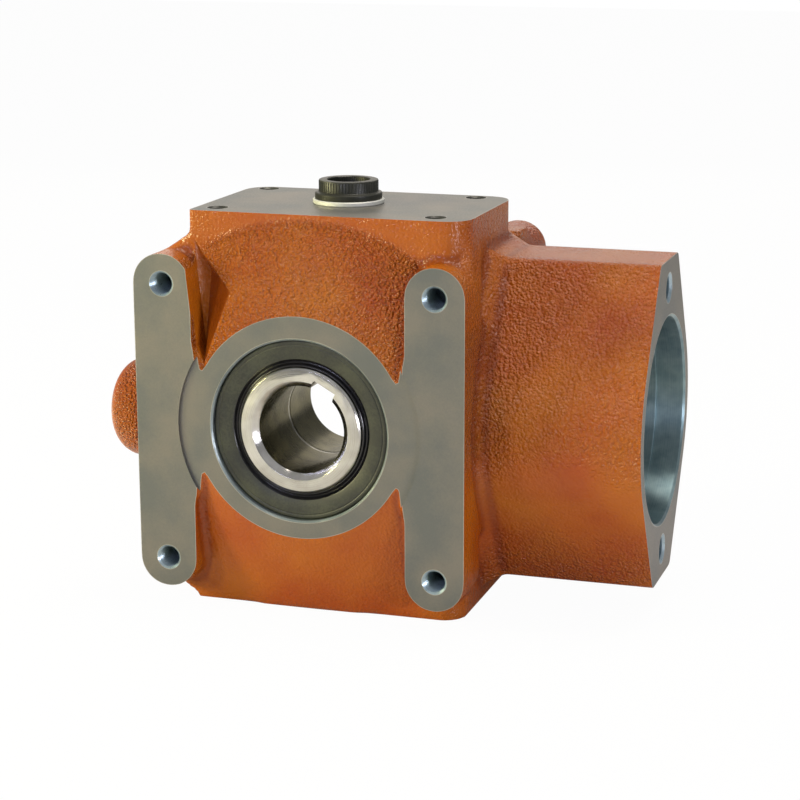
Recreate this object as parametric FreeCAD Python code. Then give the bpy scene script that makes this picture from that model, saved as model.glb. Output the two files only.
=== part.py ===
import FreeCAD, Part
import math
import os

os.makedirs("parts", exist_ok=True)

# Right angle bevel gearbox, in millimetres. The origin is where the output axis (Y) and the input
# axis (X) cross. The viewer stands at -Y, the motor flange faces +X, and Z is up.

# Mounting pads: two upright bars on the front and two on the rear, each with two tapped holes,
# which are a size smaller on the rear
pad_plane = 62.0
pad_height = 12.0
pad_width = 23.8
pad_spacing_x = 111.0
pad_spacing_z = 111.0
pad_root_depth = 12.0
pad_thread_radius = 4.25
pad_thread_mouth = 5.0
pad_thread_depth = 20.0
rear_thread_radius = 3.4
rear_thread_mouth = 4.2

# Cast body
body_left = 48.6
body_right = 63.0
body_bottom = 75.5
body_top = 60.0
body_corner = 8.0
wall = 6.0
bottom_wall = 7.5

# Machined block on top, with four tapped holes and the filler plug
block_top = 83.0
block_overhang = 1.0
block_rear = 21.0
block_corner = 10.0
block_plate = 14.0
block_centre_x = 4.7
block_centre_y = -12.5
block_spacing_x = 89.4
block_spacing_y = 56.0
block_thread_radius = 3.4
block_thread_mouth = 4.2
block_thread_depth = 11.0

# Front boss round the output shaft, on a flat cone that runs out into the front wall
boss_width = 8.0
boss_setback = 1.2
spot_face_radius = 49.8
cone_base_radius = 80.4
pocket_apex_x = 29.9
pocket_apex_z = 52.5
pocket_top_x = 46.7
pocket_top_z = 71.3
pocket_foot_x = 39.1
pocket_foot_z = 25.7
pocket_top_valley = 1.0
pocket_foot_valley = 1.5
pocket_valley_low = 4.0
pocket_valley_high = 12.0
shoulder_rise = 6.5

# Side boss on the left wall, with an oil level plug screwed flush into its end
side_boss_radius = 20.5
side_boss_end = 84.5
side_boss_y = -38.0
side_boss_round = 11.0
side_plug_radius = 8.0
side_plug_length = 12.0
side_plug_socket = 4.0
side_plug_socket_depth = 6.0

# Neck and motor flange, a two bolt flange for a hydraulic motor
flange_plane = 132.3
neck_wall = 6.325
neck_flat_half = 17.5
neck_end_margin = 11.6
neck_root_flare = 8.0
pilot_radius = 41.275
pilot_depth = 12.0
pilot_chamfer = 0.9
flange_bolt_spacing = 106.4
flange_thread_radius = 5.1
flange_thread_mouth = 6.1
flange_thread_depth = 22.0

# Hollow output shaft
shaft_radius = 25.0
shaft_bore_radius = 17.5
shaft_front_setback = 2.5
shaft_length = 60.7
shaft_bore_chamfer = 2.3
shaft_edge_chamfer = 0.8
shaft_keyway_width = 10.0
shaft_keyway_depth = 3.3
shaft_keyway_angle = 60.0
shaft_mark_place = 36.0
shaft_mark_depth = 0.25
shaft_mark_width = 0.7
rear_journal_step = 2.5
rear_journal_overhang = 5.7

# Front seal and front bearing
front_seal_section = 11.0
front_seal_setback = 3.0
front_seal_width = 8.0
seal_chamfer = 0.7
front_bearing_section = 15.0
front_bearing_width = 16.0
front_bearing_balls = 13
bearing_lip = 2.0

# Rear bearing and rear seal, both in the nose of the dished rear cover
rear_bearing_section = 6.5
rear_bearing_width = 7.0
rear_bearing_balls = 20
rear_seal_width = 5.0
rear_seal_overhang = 0.8
thrust_washer_width = 5.5
thrust_washer_thickness = 1.0

# Dished rear cover, its sealing ring and its retaining ring
cover_ledge = 2.0
cover_radius = 45.0
cover_seat = 40.0
cover_thickness = 6.0
cover_nose_wall = 2.3
cover_nose_setback = 0.5
cover_funnel_wall = 2.5
cover_rim_width = 6.0
cover_nose_length = 35.0
cover_ring_thickness = 2.5
cover_seal_thickness = 3.0
rear_boss_width = 7.0
rear_boss_height = 2.0

# Bevel gears: the crown gear faces the rear, the pinion comes from the right
crown_teeth = 33
pinion_teeth = 11
gear_module = 2.5
tooth_face_width = 8.5
pressure_angle = 20.0
pinion_shift = 0.35
tooth_backlash = 0.16
tooth_root_clearance = 0.25
gear_spacer_length = 2.0
crown_back_radius = 34.0
crown_rim_radius = 39.5
crown_rim_depth = 5.0
crown_hub_wall = 6.0
gear_key_width = 8.0
gear_key_height = 6.0
gear_key_sunk = 3.0
gear_key_margin = 1.75
gear_spacer_wall = 4.0
pinion_back_length = 2.5
pinion_back_step = 1.2

# Pinion shaft and its two bearings in the neck
pinion_journal_radius = 20.0
pinion_collar_height = 3.5
inner_bearing_start = 47.0
inner_bearing_section = 14.0
inner_bearing_width = 15.0
inner_bearing_balls = 12
inner_shoulder_height = 5.0
pinion_spacer_length = 10.0
outer_bearing_section = 20.0
outer_bearing_width = 18.0
outer_bearing_balls = 9
pinion_spacer_wall = 4.0
input_seal_gap = 0.5
input_seal_width = 7.0
motor_bore_radius = 12.7
motor_bore_depth = 42.0
motor_key_width = 6.4
motor_key_depth = 2.7
motor_bore_chamfer = 1.0

# Retaining rings; the one behind the rear bearing grips its plain journal and has no groove
ring_thickness = 1.5
neck_ring_thickness = 2.5
ring_groove_depth = 1.2
ring_height = 3.5
rear_ring_height = 2.3
ring_gap_angle = 24.0

# Filler plug and washer
plug_thread_radius = 10.5
plug_thread_length = 12.0
plug_collar_radius = 13.4
plug_collar_height = 2.8
plug_head_radius = 11.9
plug_head_height = 4.8
plug_socket_radius = 8.5
plug_socket_depth = 4.0
plug_edge_chamfer = 0.6
washer_radius = 14.2
washer_thickness = 1.8

# Oil seals: a rubber covered cup with a lip
seal_shell = 2.2
seal_lip_width = 2.4
seal_edge_chamfer = 0.7
seal_face_recess = 0.6
seal_face_bevel = 1.0

# Fits: a slip fit between pieces that stand still together and a running fit between those that turn
slip_fit = 0.01
running_fit = 0.04
seal_gap = 0.05
pocket_gap = 0.1

# Casting places
front_wall = pad_plane - pad_height
pad_radius = pad_width / 2
pad_x = pad_spacing_x / 2
pad_z = pad_spacing_z / 2
boss_plane = -(pad_plane - boss_setback)
block_right = body_right + block_overhang
neck_radius = pilot_radius + neck_wall
neck_half_height = flange_bolt_spacing / 2 + neck_end_margin
cavity_radius = cover_radius - cover_ledge
rear_boss_radius = cover_radius + rear_boss_width
rear_boss_plane = front_wall + rear_boss_height

# Stack of pieces on the output shaft, from the front seal to the rear seal
front_seal_radius = shaft_radius + front_seal_section
boss_radius = front_seal_radius + boss_width
seal_front = -(pad_plane - front_seal_setback)
seal_rear = seal_front + front_seal_width
front_bearing_radius = shaft_radius + front_bearing_section
bearing_front = seal_rear + bearing_lip
bearing_rear = bearing_front + front_bearing_width
shaft_front = -(pad_plane - shaft_front_setback)
shaft_rear = shaft_front + shaft_length
rear_journal_radius = shaft_radius - rear_journal_step
rear_bearing_radius = rear_journal_radius + rear_bearing_section
rear_bearing_end = shaft_rear - rear_journal_overhang
thrust_rear = rear_bearing_end - rear_bearing_width
thrust_washer_radius = rear_journal_radius + thrust_washer_width
crown_hub_rear = thrust_rear - thrust_washer_thickness
crown_hub_radius = shaft_radius + crown_hub_wall
crown_back = bearing_rear + gear_spacer_length
gear_spacer_radius = shaft_radius + gear_spacer_wall
gear_key_front = crown_back + gear_key_margin
gear_key_rear = crown_hub_rear - gear_key_margin
gear_ratio = crown_teeth / pinion_teeth
cover_nose_front = thrust_rear + cover_nose_setback
cover_flare_start = cover_nose_front + cover_nose_length
cover_mouth_radius = cover_radius - cover_rim_width

# Stack of pieces on the pinion shaft, from the inner bearing to the seal
pinion_collar_radius = pinion_journal_radius + pinion_collar_height
inner_bearing_radius = pinion_journal_radius + inner_bearing_section
inner_bearing_end = inner_bearing_start + inner_bearing_width
inner_shoulder_radius = inner_bearing_radius - inner_shoulder_height
outer_bearing_start = inner_bearing_end + pinion_spacer_length
outer_bearing_radius = pinion_journal_radius + outer_bearing_section
outer_bearing_end = outer_bearing_start + outer_bearing_width
pinion_spacer_radius = pinion_journal_radius + pinion_spacer_wall
input_seal_start = outer_bearing_end + neck_ring_thickness + input_seal_gap
pinion_shaft_end = input_seal_start + input_seal_width

# Tools reach this far past what they cut
past = 5.0


def laid(shape, axis, centre):
    """Turn a shape built along Z to lie along the named axis, then move it to its centre."""
    origin = FreeCAD.Vector(0, 0, 0)
    if axis == "Y":
        shape.rotate(origin, FreeCAD.Vector(1, 0, 0), -90)
    if axis == "X":
        shape.rotate(origin, FreeCAD.Vector(0, 1, 0), 90)
    shape.translate(FreeCAD.Vector(*centre))
    return shape


def turned(profile, axis, centre=(0, 0, 0)):
    """Solid of revolution whose profile holds (radius, place along the axis) corners."""
    corners = [FreeCAD.Vector(radius, 0, place) for radius, place in profile]
    face = Part.Face(Part.makePolygon(corners + corners[:1]))
    solid = face.revolve(FreeCAD.Vector(0, 0, 0), FreeCAD.Vector(0, 0, 1), 360)
    return laid(solid, axis, centre)


def ring(inner, outer, start, end, axis, centre=(0, 0, 0)):
    """Plain ring, or a disc when the inner radius is zero."""
    return turned([(inner, start), (outer, start), (outer, end), (inner, end)], axis, centre)


def box(x_min, x_max, y_min, y_max, z_min, z_max):
    """Box between the given limits."""
    corner = FreeCAD.Vector(x_min, y_min, z_min)
    return Part.makeBox(x_max - x_min, y_max - y_min, z_max - z_min, corner)


def rounded_edges(shape, radius, chosen):
    """Round the straight edges whose middle point passes the given test."""
    edges = [edge for edge in shape.Edges if chosen(edge.CenterOfMass)]
    return shape.makeFillet(radius, edges)


def tapped_hole(radius, mouth, depth, axis, place, way):
    """Cutter for a tapped hole with a countersunk mouth; way is +1 where the hole runs along +axis."""
    sink = mouth - radius
    drill_half_angle = math.radians(59)
    cone_tip = radius / math.tan(drill_half_angle)
    profile = [
        (0, -past * way),
        (mouth + past, -past * way),
        (radius, sink * way),
        (radius, depth * way),
        (0, (depth + cone_tip) * way),
    ]
    return turned(profile, axis, place)


def involute_half_angle(radius, base_radius):
    """Involute function of the pressure angle at a radius."""
    if radius <= base_radius:
        return 0.0
    angle = math.acos(base_radius / radius)
    return math.tan(angle) - angle


def tooth_section(teeth, cone_angle, shift):
    """Half flank of one tooth on the developed back cone: (across, out from the pitch line) points."""
    virtual_pitch = teeth * gear_module / 2 / math.cos(cone_angle)
    base = virtual_pitch * math.cos(math.radians(pressure_angle))
    tip = virtual_pitch + gear_module * (1 + shift)
    root = virtual_pitch - gear_module * (1 + tooth_root_clearance - shift)
    spread = math.tan(math.radians(pressure_angle))
    half_thickness = gear_module * (math.pi / 4 + shift * spread) - tooth_backlash / 2
    half_angle = half_thickness / virtual_pitch
    pitch_involute = involute_half_angle(virtual_pitch, base)
    flank_steps = 6
    flank_start = max(root, base)
    points = []
    for step in range(flank_steps + 1):
        radius = flank_start + (tip - flank_start) * step / flank_steps
        angle = half_angle + pitch_involute - involute_half_angle(radius, base)
        points.append((radius * math.sin(angle), radius * math.cos(angle) - virtual_pitch))
    foot_angle = half_angle + pitch_involute
    foot_overlap = 0.35
    foot_radius = root - foot_overlap
    undercut = min(1.0, foot_radius / flank_start)
    points.insert(0, (flank_start * math.sin(foot_angle) * undercut, foot_radius - virtual_pitch))
    return points


def bevel_teeth(teeth, cone_angle, shift, turn_offset):
    """All teeth of a straight bevel gear about Z, cone apex at the origin, opening towards -Z."""
    pitch_radius = teeth * gear_module / 2
    cone_length = pitch_radius / math.sin(cone_angle)
    inner_scale = (cone_length - tooth_face_width) / cone_length
    half_flank = tooth_section(teeth, cone_angle, shift)
    outline = half_flank + [(-across, out) for across, out in reversed(half_flank)]
    sections = []
    for scale in (1.0, inner_scale):
        corners = []
        for across, out in outline:
            radial = pitch_radius + out * math.cos(cone_angle)
            height = -pitch_radius / math.tan(cone_angle) + out * math.sin(cone_angle)
            corners.append(FreeCAD.Vector(radial * scale, across * scale, height * scale))
        sections.append(Part.makePolygon(corners + corners[:1]))
    tooth = Part.makeLoft(sections, True, True)
    copies = []
    for index in range(teeth):
        copy = tooth.copy()
        turn = 360 * (index + turn_offset) / teeth
        copy.rotate(FreeCAD.Vector(0, 0, 0), FreeCAD.Vector(0, 0, 1), turn)
        copies.append(copy)
    return copies


def root_cone(teeth, cone_angle, shift):
    """Radius and depth below the apex of the root line at the outer and the inner end of the teeth."""
    pitch_radius = teeth * gear_module / 2
    cone_length = pitch_radius / math.sin(cone_angle)
    inner_scale = (cone_length - tooth_face_width) / cone_length
    dedendum = gear_module * (1 + tooth_root_clearance - shift)
    outer = (pitch_radius - dedendum * math.cos(cone_angle),
             pitch_radius / math.tan(cone_angle) + dedendum * math.sin(cone_angle))
    return outer, (outer[0] * inner_scale, outer[1] * inner_scale)


def ball_bearing(name, axis, bore, outside, start, width, balls):
    """Deep groove ball bearing as four pieces: two grooved rings, the balls and their cage."""
    section = outside - bore
    ball_radius = 0.3 * section
    shoulder = 0.36 * section
    cage_thickness = 0.16 * section
    cage_rim = 0.07 * section
    pitch = (bore + outside) / 2
    middle = start + width / 2
    groove = Part.makeTorus(pitch, ball_radius + running_fit)
    groove = laid(groove, axis, tuple(middle if letter == axis else 0 for letter in "XYZ"))
    inner = ring(bore + slip_fit, bore + shoulder, start, start + width, axis).cut(groove)
    outer = ring(outside - shoulder, outside - slip_fit, start, start + width, axis).cut(groove)
    cage_half_width = ball_radius + cage_rim
    cage = ring(pitch - cage_thickness / 2, pitch + cage_thickness / 2,
                middle - cage_half_width, middle + cage_half_width, axis)
    ball_solids = []
    pockets = []
    for index in range(balls):
        angle = 2 * math.pi * index / balls
        across = math.cos(angle)
        up = math.sin(angle)
        outward = FreeCAD.Vector(0, across, up) if axis == "X" else FreeCAD.Vector(across, 0, up)
        along = FreeCAD.Vector(middle, 0, 0) if axis == "X" else FreeCAD.Vector(0, middle, 0)
        ball_solids.append(Part.makeSphere(ball_radius, along + outward * pitch))
        pockets.append(Part.makeCylinder(ball_radius + pocket_gap, outside, along, outward))
    cage = cage.cut(pockets)
    inner.exportStep("parts/" + name + "_inner_ring.step")
    outer.exportStep("parts/" + name + "_outer_ring.step")
    Part.makeCompound(ball_solids).exportStep("parts/" + name + "_balls.step")
    cage.exportStep("parts/" + name + "_cage.step")


def retaining_ring(inner, outer, start, thickness, axis, gap_side):
    """Open retaining ring with its gap on the side given in degrees."""
    solid = ring(inner, outer, start, start + thickness, axis)
    half = math.radians(ring_gap_angle / 2)
    side = math.radians(gap_side)
    reach = (outer + past) / math.cos(half)
    corners = [FreeCAD.Vector(0, 0, start - past)]
    for angle in (side - half, side + half):
        corners.append(FreeCAD.Vector(reach * math.cos(angle), reach * math.sin(angle), start - past))
    wedge = Part.Face(Part.makePolygon(corners + corners[:1]))
    wedge = wedge.extrude(FreeCAD.Vector(0, 0, thickness + 2 * past))
    return solid.cut(laid(wedge, axis, (0, 0, 0)))


def obround_prism(centre_x, radius, half_spacing, y_from, y_to):
    """Upright bar with round ends, extruded along Y."""
    bar = box(centre_x - radius, centre_x + radius, y_from, y_to, -half_spacing, half_spacing)
    ends = [
        ring(0, radius, y_from, y_to, "Y", (centre_x, 0, side * half_spacing))
        for side in (-1, 1)
    ]
    return bar.fuse(ends).removeSplitter()


def neck_section(x_place, grow):
    """Lozenge outline of the neck: a middle circle with tangents to a flat top and bottom edge."""
    radius = neck_radius + grow
    flat = neck_flat_half + grow / 2
    height = neck_half_height + grow / 2
    reach = math.hypot(flat, height)
    tangent_angle = math.atan2(flat, height) + math.acos(radius / reach)
    side = radius * math.sin(tangent_angle)
    rise = radius * math.cos(tangent_angle)

    def point(y, z):
        return FreeCAD.Vector(x_place, y, z)

    return Part.Wire([
        Part.LineSegment(point(-flat, height), point(flat, height)).toShape(),
        Part.LineSegment(point(flat, height), point(side, rise)).toShape(),
        Part.Arc(point(side, rise), point(radius, 0), point(side, -rise)).toShape(),
        Part.LineSegment(point(side, -rise), point(flat, -height)).toShape(),
        Part.LineSegment(point(flat, -height), point(-flat, -height)).toShape(),
        Part.LineSegment(point(-flat, -height), point(-side, -rise)).toShape(),
        Part.Arc(point(-side, -rise), point(-radius, 0), point(-side, rise)).toShape(),
        Part.LineSegment(point(-side, rise), point(-flat, height)).toShape(),
    ])


def cast_body():
    """Outside of the casting before any machining."""
    body = box(-body_left, body_right, -front_wall, front_wall, -body_bottom, body_top)
    body = rounded_edges(body, body_corner, lambda point: abs(point.y) < 1 and point.x > 0)
    block = box(-body_left, block_right, -front_wall, block_rear, 0, block_top)
    block = rounded_edges(block, block_corner, lambda point: (
        abs(point.z - block_top / 2) < 1 and (point.x > 0 or point.y > 0)))

    cone = turned([(0, -front_wall), (cone_base_radius, -front_wall),
                   (boss_radius, boss_plane), (0, boss_plane)], "Y")
    front_limits = box(-body_left, body_right, -pad_plane, -front_wall, -body_bottom, block_top)
    cone = cone.common(front_limits)

    pads = []
    for face in (-1, 1):
        for side in (-1, 1):
            root = pad_plane - pad_height - pad_root_depth
            pads.append(obround_prism(side * pad_x, pad_radius, pad_z,
                                      min(face * pad_plane, face * root),
                                      max(face * pad_plane, face * root)))

    shoulders = []
    for face in (-1, 1):
        for tip in (1, -1):
            top = (pad_z + pad_radius) * tip
            corners = [
                FreeCAD.Vector(-pad_x, face * front_wall, top),
                FreeCAD.Vector(-body_left, face * front_wall, top + shoulder_rise * tip),
                FreeCAD.Vector(-body_left + wall, face * front_wall, top + shoulder_rise * tip),
                FreeCAD.Vector(-body_left + wall, face * front_wall, 0),
                FreeCAD.Vector(-pad_x, face * front_wall, 0),
            ]
            web = Part.Face(Part.makePolygon(corners + corners[:1]))
            shoulders.append(web.extrude(FreeCAD.Vector(0, -face * pad_root_depth, 0)))

    neck = Part.Face(neck_section(body_right - wall, 0)).extrude(
        FreeCAD.Vector(flange_plane - body_right + wall, 0, 0))
    flare = Part.makeLoft([
        neck_section(body_right - wall, neck_root_flare + wall),
        neck_section(body_right + neck_root_flare, 0),
    ], True, True)
    flare = flare.common(box(0, flange_plane, -front_wall, front_wall, -body_bottom, body_bottom))

    side_boss = ring(0, side_boss_radius, -side_boss_end, -body_left + wall, "X",
                     (0, side_boss_y, 0))
    side_boss = rounded_edges(side_boss, side_boss_round,
                              lambda point: point.x < -side_boss_end + 1)
    side_boss = side_boss.common(box(-side_boss_end, 0, -pad_plane, 0, -body_top, body_top))
    rear_boss = ring(0, rear_boss_radius, 0, rear_boss_plane, "Y")
    front_bearing_boss = ring(0, front_bearing_radius + wall, -front_wall, bearing_rear, "Y")
    return body.fuse([block, cone, neck, flare, side_boss, rear_boss, front_bearing_boss]
                     + pads + shoulders)


def casting_pocket():
    """Faceted hollow beside the upper left front pad, where the cone meets the pad's inner wall."""
    cone_slope = (boss_plane + front_wall) / (boss_radius - cone_base_radius)

    def cone_depth(x, z):
        return boss_plane + (math.hypot(x, z) - boss_radius) * cone_slope

    inner_edge = -(pad_x - pad_radius)
    front = -pad_plane - past
    floor = [
        (-pocket_top_x, -front_wall, pocket_top_z),
        (-pocket_apex_x, cone_depth(pocket_apex_x, pocket_apex_z), pocket_apex_z),
        (-pocket_foot_x, cone_depth(pocket_foot_x, pocket_foot_z), pocket_foot_z),
        (inner_edge, -front_wall - pocket_foot_valley, pocket_foot_z + pocket_valley_low),
        (inner_edge, -front_wall + pocket_top_valley, pocket_top_z - pocket_valley_high),
    ]
    top, apex, foot, low, high = [FreeCAD.Vector(*corner) for corner in floor]
    lid = [FreeCAD.Vector(corner.x, front, corner.z) for corner in (top, apex, foot, low, high)]

    def facet(*corners):
        return Part.Face(Part.makePolygon(list(corners) + [corners[0]]))

    faces = [
        facet(top, apex, high),
        facet(apex, low, high),
        facet(apex, foot, low),
        facet(*lid),
    ]
    rim = [top, apex, foot, low, high]
    for index in range(len(rim)):
        after = (index + 1) % len(rim)
        faces.append(facet(rim[index], rim[after], lid[after]))
        faces.append(facet(rim[index], lid[after], lid[index]))
    return Part.Solid(Part.makeShell(faces))


def housing():
    """Cast housing with its bores, faces and tapped holes."""
    cuts = []

    # Boss faces with the round step that each cuts into the inner edges of its pads
    cuts.append(ring(0, spot_face_radius, -pad_plane - past, boss_plane, "Y"))
    cuts.append(ring(0, spot_face_radius, rear_boss_plane, pad_plane + past, "Y"))

    # Front seal bore with a chamfered mouth, lip and bearing bore
    cuts.append(turned([
        (0, boss_plane - past),
        (front_seal_radius + seal_chamfer + past, boss_plane - past),
        (front_seal_radius + seal_chamfer, boss_plane),
        (front_seal_radius, boss_plane + seal_chamfer),
        (front_seal_radius, seal_rear),
        (front_seal_radius - bearing_lip, seal_rear),
        (front_seal_radius - bearing_lip, bearing_front),
        (0, bearing_front),
    ], "Y"))
    cuts.append(ring(0, front_bearing_radius, bearing_front, bearing_rear + past, "Y"))

    # Gear cavity, oil spaces above and below it, and the seat of the rear cover
    cuts.append(ring(0, cavity_radius, bearing_rear, cover_seat + past, "Y"))
    cuts.append(ring(0, cover_radius, cover_seat, rear_boss_plane + past, "Y"))
    ring_start = cover_seat + cover_thickness
    cuts.append(ring(0, cover_radius + ring_groove_depth, ring_start + slip_fit,
                     ring_start + cover_ring_thickness + running_fit, "Y"))
    oil_rear = cover_seat - wall
    inside_left = body_left - wall
    cuts.append(box(-inside_left, inside_left, bearing_rear, oil_rear,
                    -body_bottom + bottom_wall, body_top - bottom_wall))
    cuts.append(box(-inside_left, inside_left, bearing_rear, block_rear - bottom_wall,
                    0, block_top - block_plate))

    # Bores of the neck: pilot, outer bearing with ring groove, inner bearing and way to the cavity
    cuts.append(turned([
        (0, inner_bearing_start), (inner_bearing_radius, inner_bearing_start),
        (inner_bearing_radius, outer_bearing_start), (outer_bearing_radius, outer_bearing_start),
        (outer_bearing_radius, flange_plane - pilot_depth),
        (pilot_radius, flange_plane - pilot_depth),
        (pilot_radius, flange_plane - pilot_chamfer),
        (pilot_radius + pilot_chamfer + past, flange_plane + past),
        (0, flange_plane + past),
    ], "X"))
    cuts.append(ring(0, outer_bearing_radius + ring_groove_depth, outer_bearing_end + slip_fit,
                     outer_bearing_end + neck_ring_thickness + running_fit, "X"))
    cuts.append(ring(0, inner_shoulder_radius, cavity_radius / 2, inner_bearing_start, "X"))

    # Tapped holes of the pads, flange, block, filler plug and side plug
    for face, radius, mouth in ((-1, pad_thread_radius, pad_thread_mouth),
                                (1, rear_thread_radius, rear_thread_mouth)):
        for side in (-1, 1):
            for tip in (-1, 1):
                place = (side * pad_x, face * pad_plane, tip * pad_z)
                cuts.append(tapped_hole(radius, mouth, pad_thread_depth, "Y", place, -face))
    for tip in (-1, 1):
        place = (flange_plane, 0, tip * flange_bolt_spacing / 2)
        cuts.append(tapped_hole(flange_thread_radius, flange_thread_mouth, flange_thread_depth,
                                "X", place, -1))
    for side in (-1, 1):
        for depth in (-1, 1):
            place = (block_centre_x + side * block_spacing_x / 2,
                     block_centre_y + depth * block_spacing_y / 2, block_top)
            cuts.append(tapped_hole(block_thread_radius, block_thread_mouth, block_thread_depth,
                                    "Z", place, -1))
    plug_place = (block_centre_x, block_centre_y, block_top)
    cuts.append(ring(0, plug_thread_radius, -block_plate - past, past, "Z", plug_place))
    cuts.append(ring(0, side_plug_radius, -past, side_plug_length + slip_fit, "X",
                     (-side_boss_end, side_boss_y, 0)))

    shape = cast_body().cut(casting_pocket())
    shape = shape.cut(cuts)
    shape.exportStep("parts/housing.step")


def output_shaft():
    """Hollow output shaft with a keyed bore, a rear journal and the seat of the crown gear key."""
    body = turned([
        (shaft_bore_radius + shaft_bore_chamfer, shaft_front),
        (shaft_radius - shaft_edge_chamfer, shaft_front),
        (shaft_radius, shaft_front + shaft_edge_chamfer),
        (shaft_radius, crown_hub_rear),
        (rear_journal_radius, crown_hub_rear),
        (rear_journal_radius, shaft_rear - shaft_edge_chamfer),
        (rear_journal_radius - shaft_edge_chamfer, shaft_rear),
        (shaft_bore_radius, shaft_rear),
        (shaft_bore_radius, shaft_front + shaft_bore_chamfer),
    ], "Y")
    cuts = []
    mark_start = shaft_front + shaft_mark_place
    cuts.append(ring(0, shaft_bore_radius + shaft_mark_depth, mark_start,
                     mark_start + shaft_mark_width, "Y"))
    keyway = box(0, shaft_bore_radius + shaft_keyway_depth, shaft_front - past, shaft_rear + past,
                 -shaft_keyway_width / 2, shaft_keyway_width / 2)
    keyway.rotate(FreeCAD.Vector(0, 0, 0), FreeCAD.Vector(0, 1, 0), -shaft_keyway_angle)
    cuts.append(keyway)
    front_groove = bearing_front - ring_thickness
    groove_floor = shaft_radius - ring_groove_depth
    cuts.append(ring(groove_floor, shaft_radius + past, front_groove - running_fit,
                     bearing_front - slip_fit, "Y"))
    cuts.append(box(-gear_key_width / 2, gear_key_width / 2,
                    gear_key_front, gear_key_rear,
                    -shaft_radius - past, -shaft_radius + gear_key_sunk))
    body.cut(cuts).exportStep("parts/output_shaft.step")


def crown_gear():
    """Straight bevel crown gear whose teeth face the rear, keyed onto the output shaft."""
    pitch_cone = math.atan(gear_ratio)
    outer_root, inner_root = root_cone(crown_teeth, pitch_cone, -pinion_shift)
    blank = turned([
        (shaft_radius + slip_fit, crown_back),
        (crown_back_radius, crown_back),
        (crown_rim_radius, crown_back + crown_rim_depth),
        (outer_root[0], -outer_root[1]),
        (inner_root[0], -inner_root[1]),
        (crown_hub_radius, -inner_root[1]),
        (crown_hub_radius, crown_hub_rear),
        (shaft_radius + slip_fit, crown_hub_rear),
    ], "Y")
    teeth = bevel_teeth(crown_teeth, pitch_cone, -pinion_shift, 0.5)
    teeth = [laid(tooth, "Y", (0, 0, 0)) for tooth in teeth]
    keyseat = box(-gear_key_width / 2 - slip_fit, gear_key_width / 2 + slip_fit,
                  crown_back - past, crown_hub_rear + past,
                  -shaft_radius + gear_key_sunk - gear_key_height - pocket_gap, 0)
    gear = blank.cut(keyseat).fuse(teeth)
    gear.exportStep("parts/crown_gear.step")

    key = box(-gear_key_width / 2, gear_key_width / 2,
              gear_key_front, gear_key_rear,
              -shaft_radius + gear_key_sunk - gear_key_height, -shaft_radius + gear_key_sunk)
    key.exportStep("parts/crown_gear_key.step")
    spacer = ring(shaft_radius + slip_fit, gear_spacer_radius, bearing_rear, crown_back, "Y")
    spacer.exportStep("parts/crown_gear_spacer.step")
    washer = ring(rear_journal_radius + slip_fit, thrust_washer_radius,
                  crown_hub_rear, thrust_rear, "Y")
    washer.exportStep("parts/thrust_washer.step")


def output_bearings():
    """Front bearing in the housing and rear bearing in the nose of the cover."""
    ball_bearing("front_bearing", "Y", shaft_radius, front_bearing_radius,
                 bearing_front, front_bearing_width, front_bearing_balls)
    ball_bearing("rear_bearing", "Y", rear_journal_radius, rear_bearing_radius,
                 thrust_rear, rear_bearing_width, rear_bearing_balls)
    front_ring = retaining_ring(shaft_radius - ring_groove_depth,
                                shaft_radius - ring_groove_depth + ring_height,
                                bearing_front - ring_thickness - slip_fit, ring_thickness, "Y", 90)
    front_ring.exportStep("parts/front_shaft_ring.step")
    rear_ring = retaining_ring(rear_journal_radius + slip_fit,
                               rear_journal_radius + rear_ring_height,
                               rear_bearing_end + slip_fit, ring_thickness, "Y", 90)
    rear_ring.exportStep("parts/rear_shaft_ring.step")


def oil_seal(name, axis, bore, outside, start, width, face_way):
    """Rubber covered shaft seal: a cup with its closed face outward and a lip that meets the shaft."""
    face = start if face_way < 0 else start + width
    lip = bore + seal_lip_width
    wall_inside = outside - seal_shell

    def deep(depth):
        return face - depth * face_way

    profile = [
        (bore + seal_gap, deep(seal_face_recess)),
        (lip, deep(seal_face_recess)),
        (lip + seal_face_bevel, face),
        (outside - slip_fit - seal_edge_chamfer, face),
        (outside - slip_fit, deep(seal_edge_chamfer)),
        (outside - slip_fit, deep(width)),
        (wall_inside, deep(width)),
        (wall_inside, deep(seal_shell)),
        (lip, deep(seal_shell)),
        (lip, deep(width - seal_edge_chamfer)),
        (bore + seal_lip_width / 2, deep(width - seal_edge_chamfer)),
        (bore + seal_gap, deep(width / 2)),
        (bore + seal_lip_width / 2, deep((seal_shell + width / 2) / 2)),
        (bore + seal_gap, deep(seal_shell)),
    ]
    turned(profile, axis).exportStep("parts/" + name + ".step")


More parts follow.
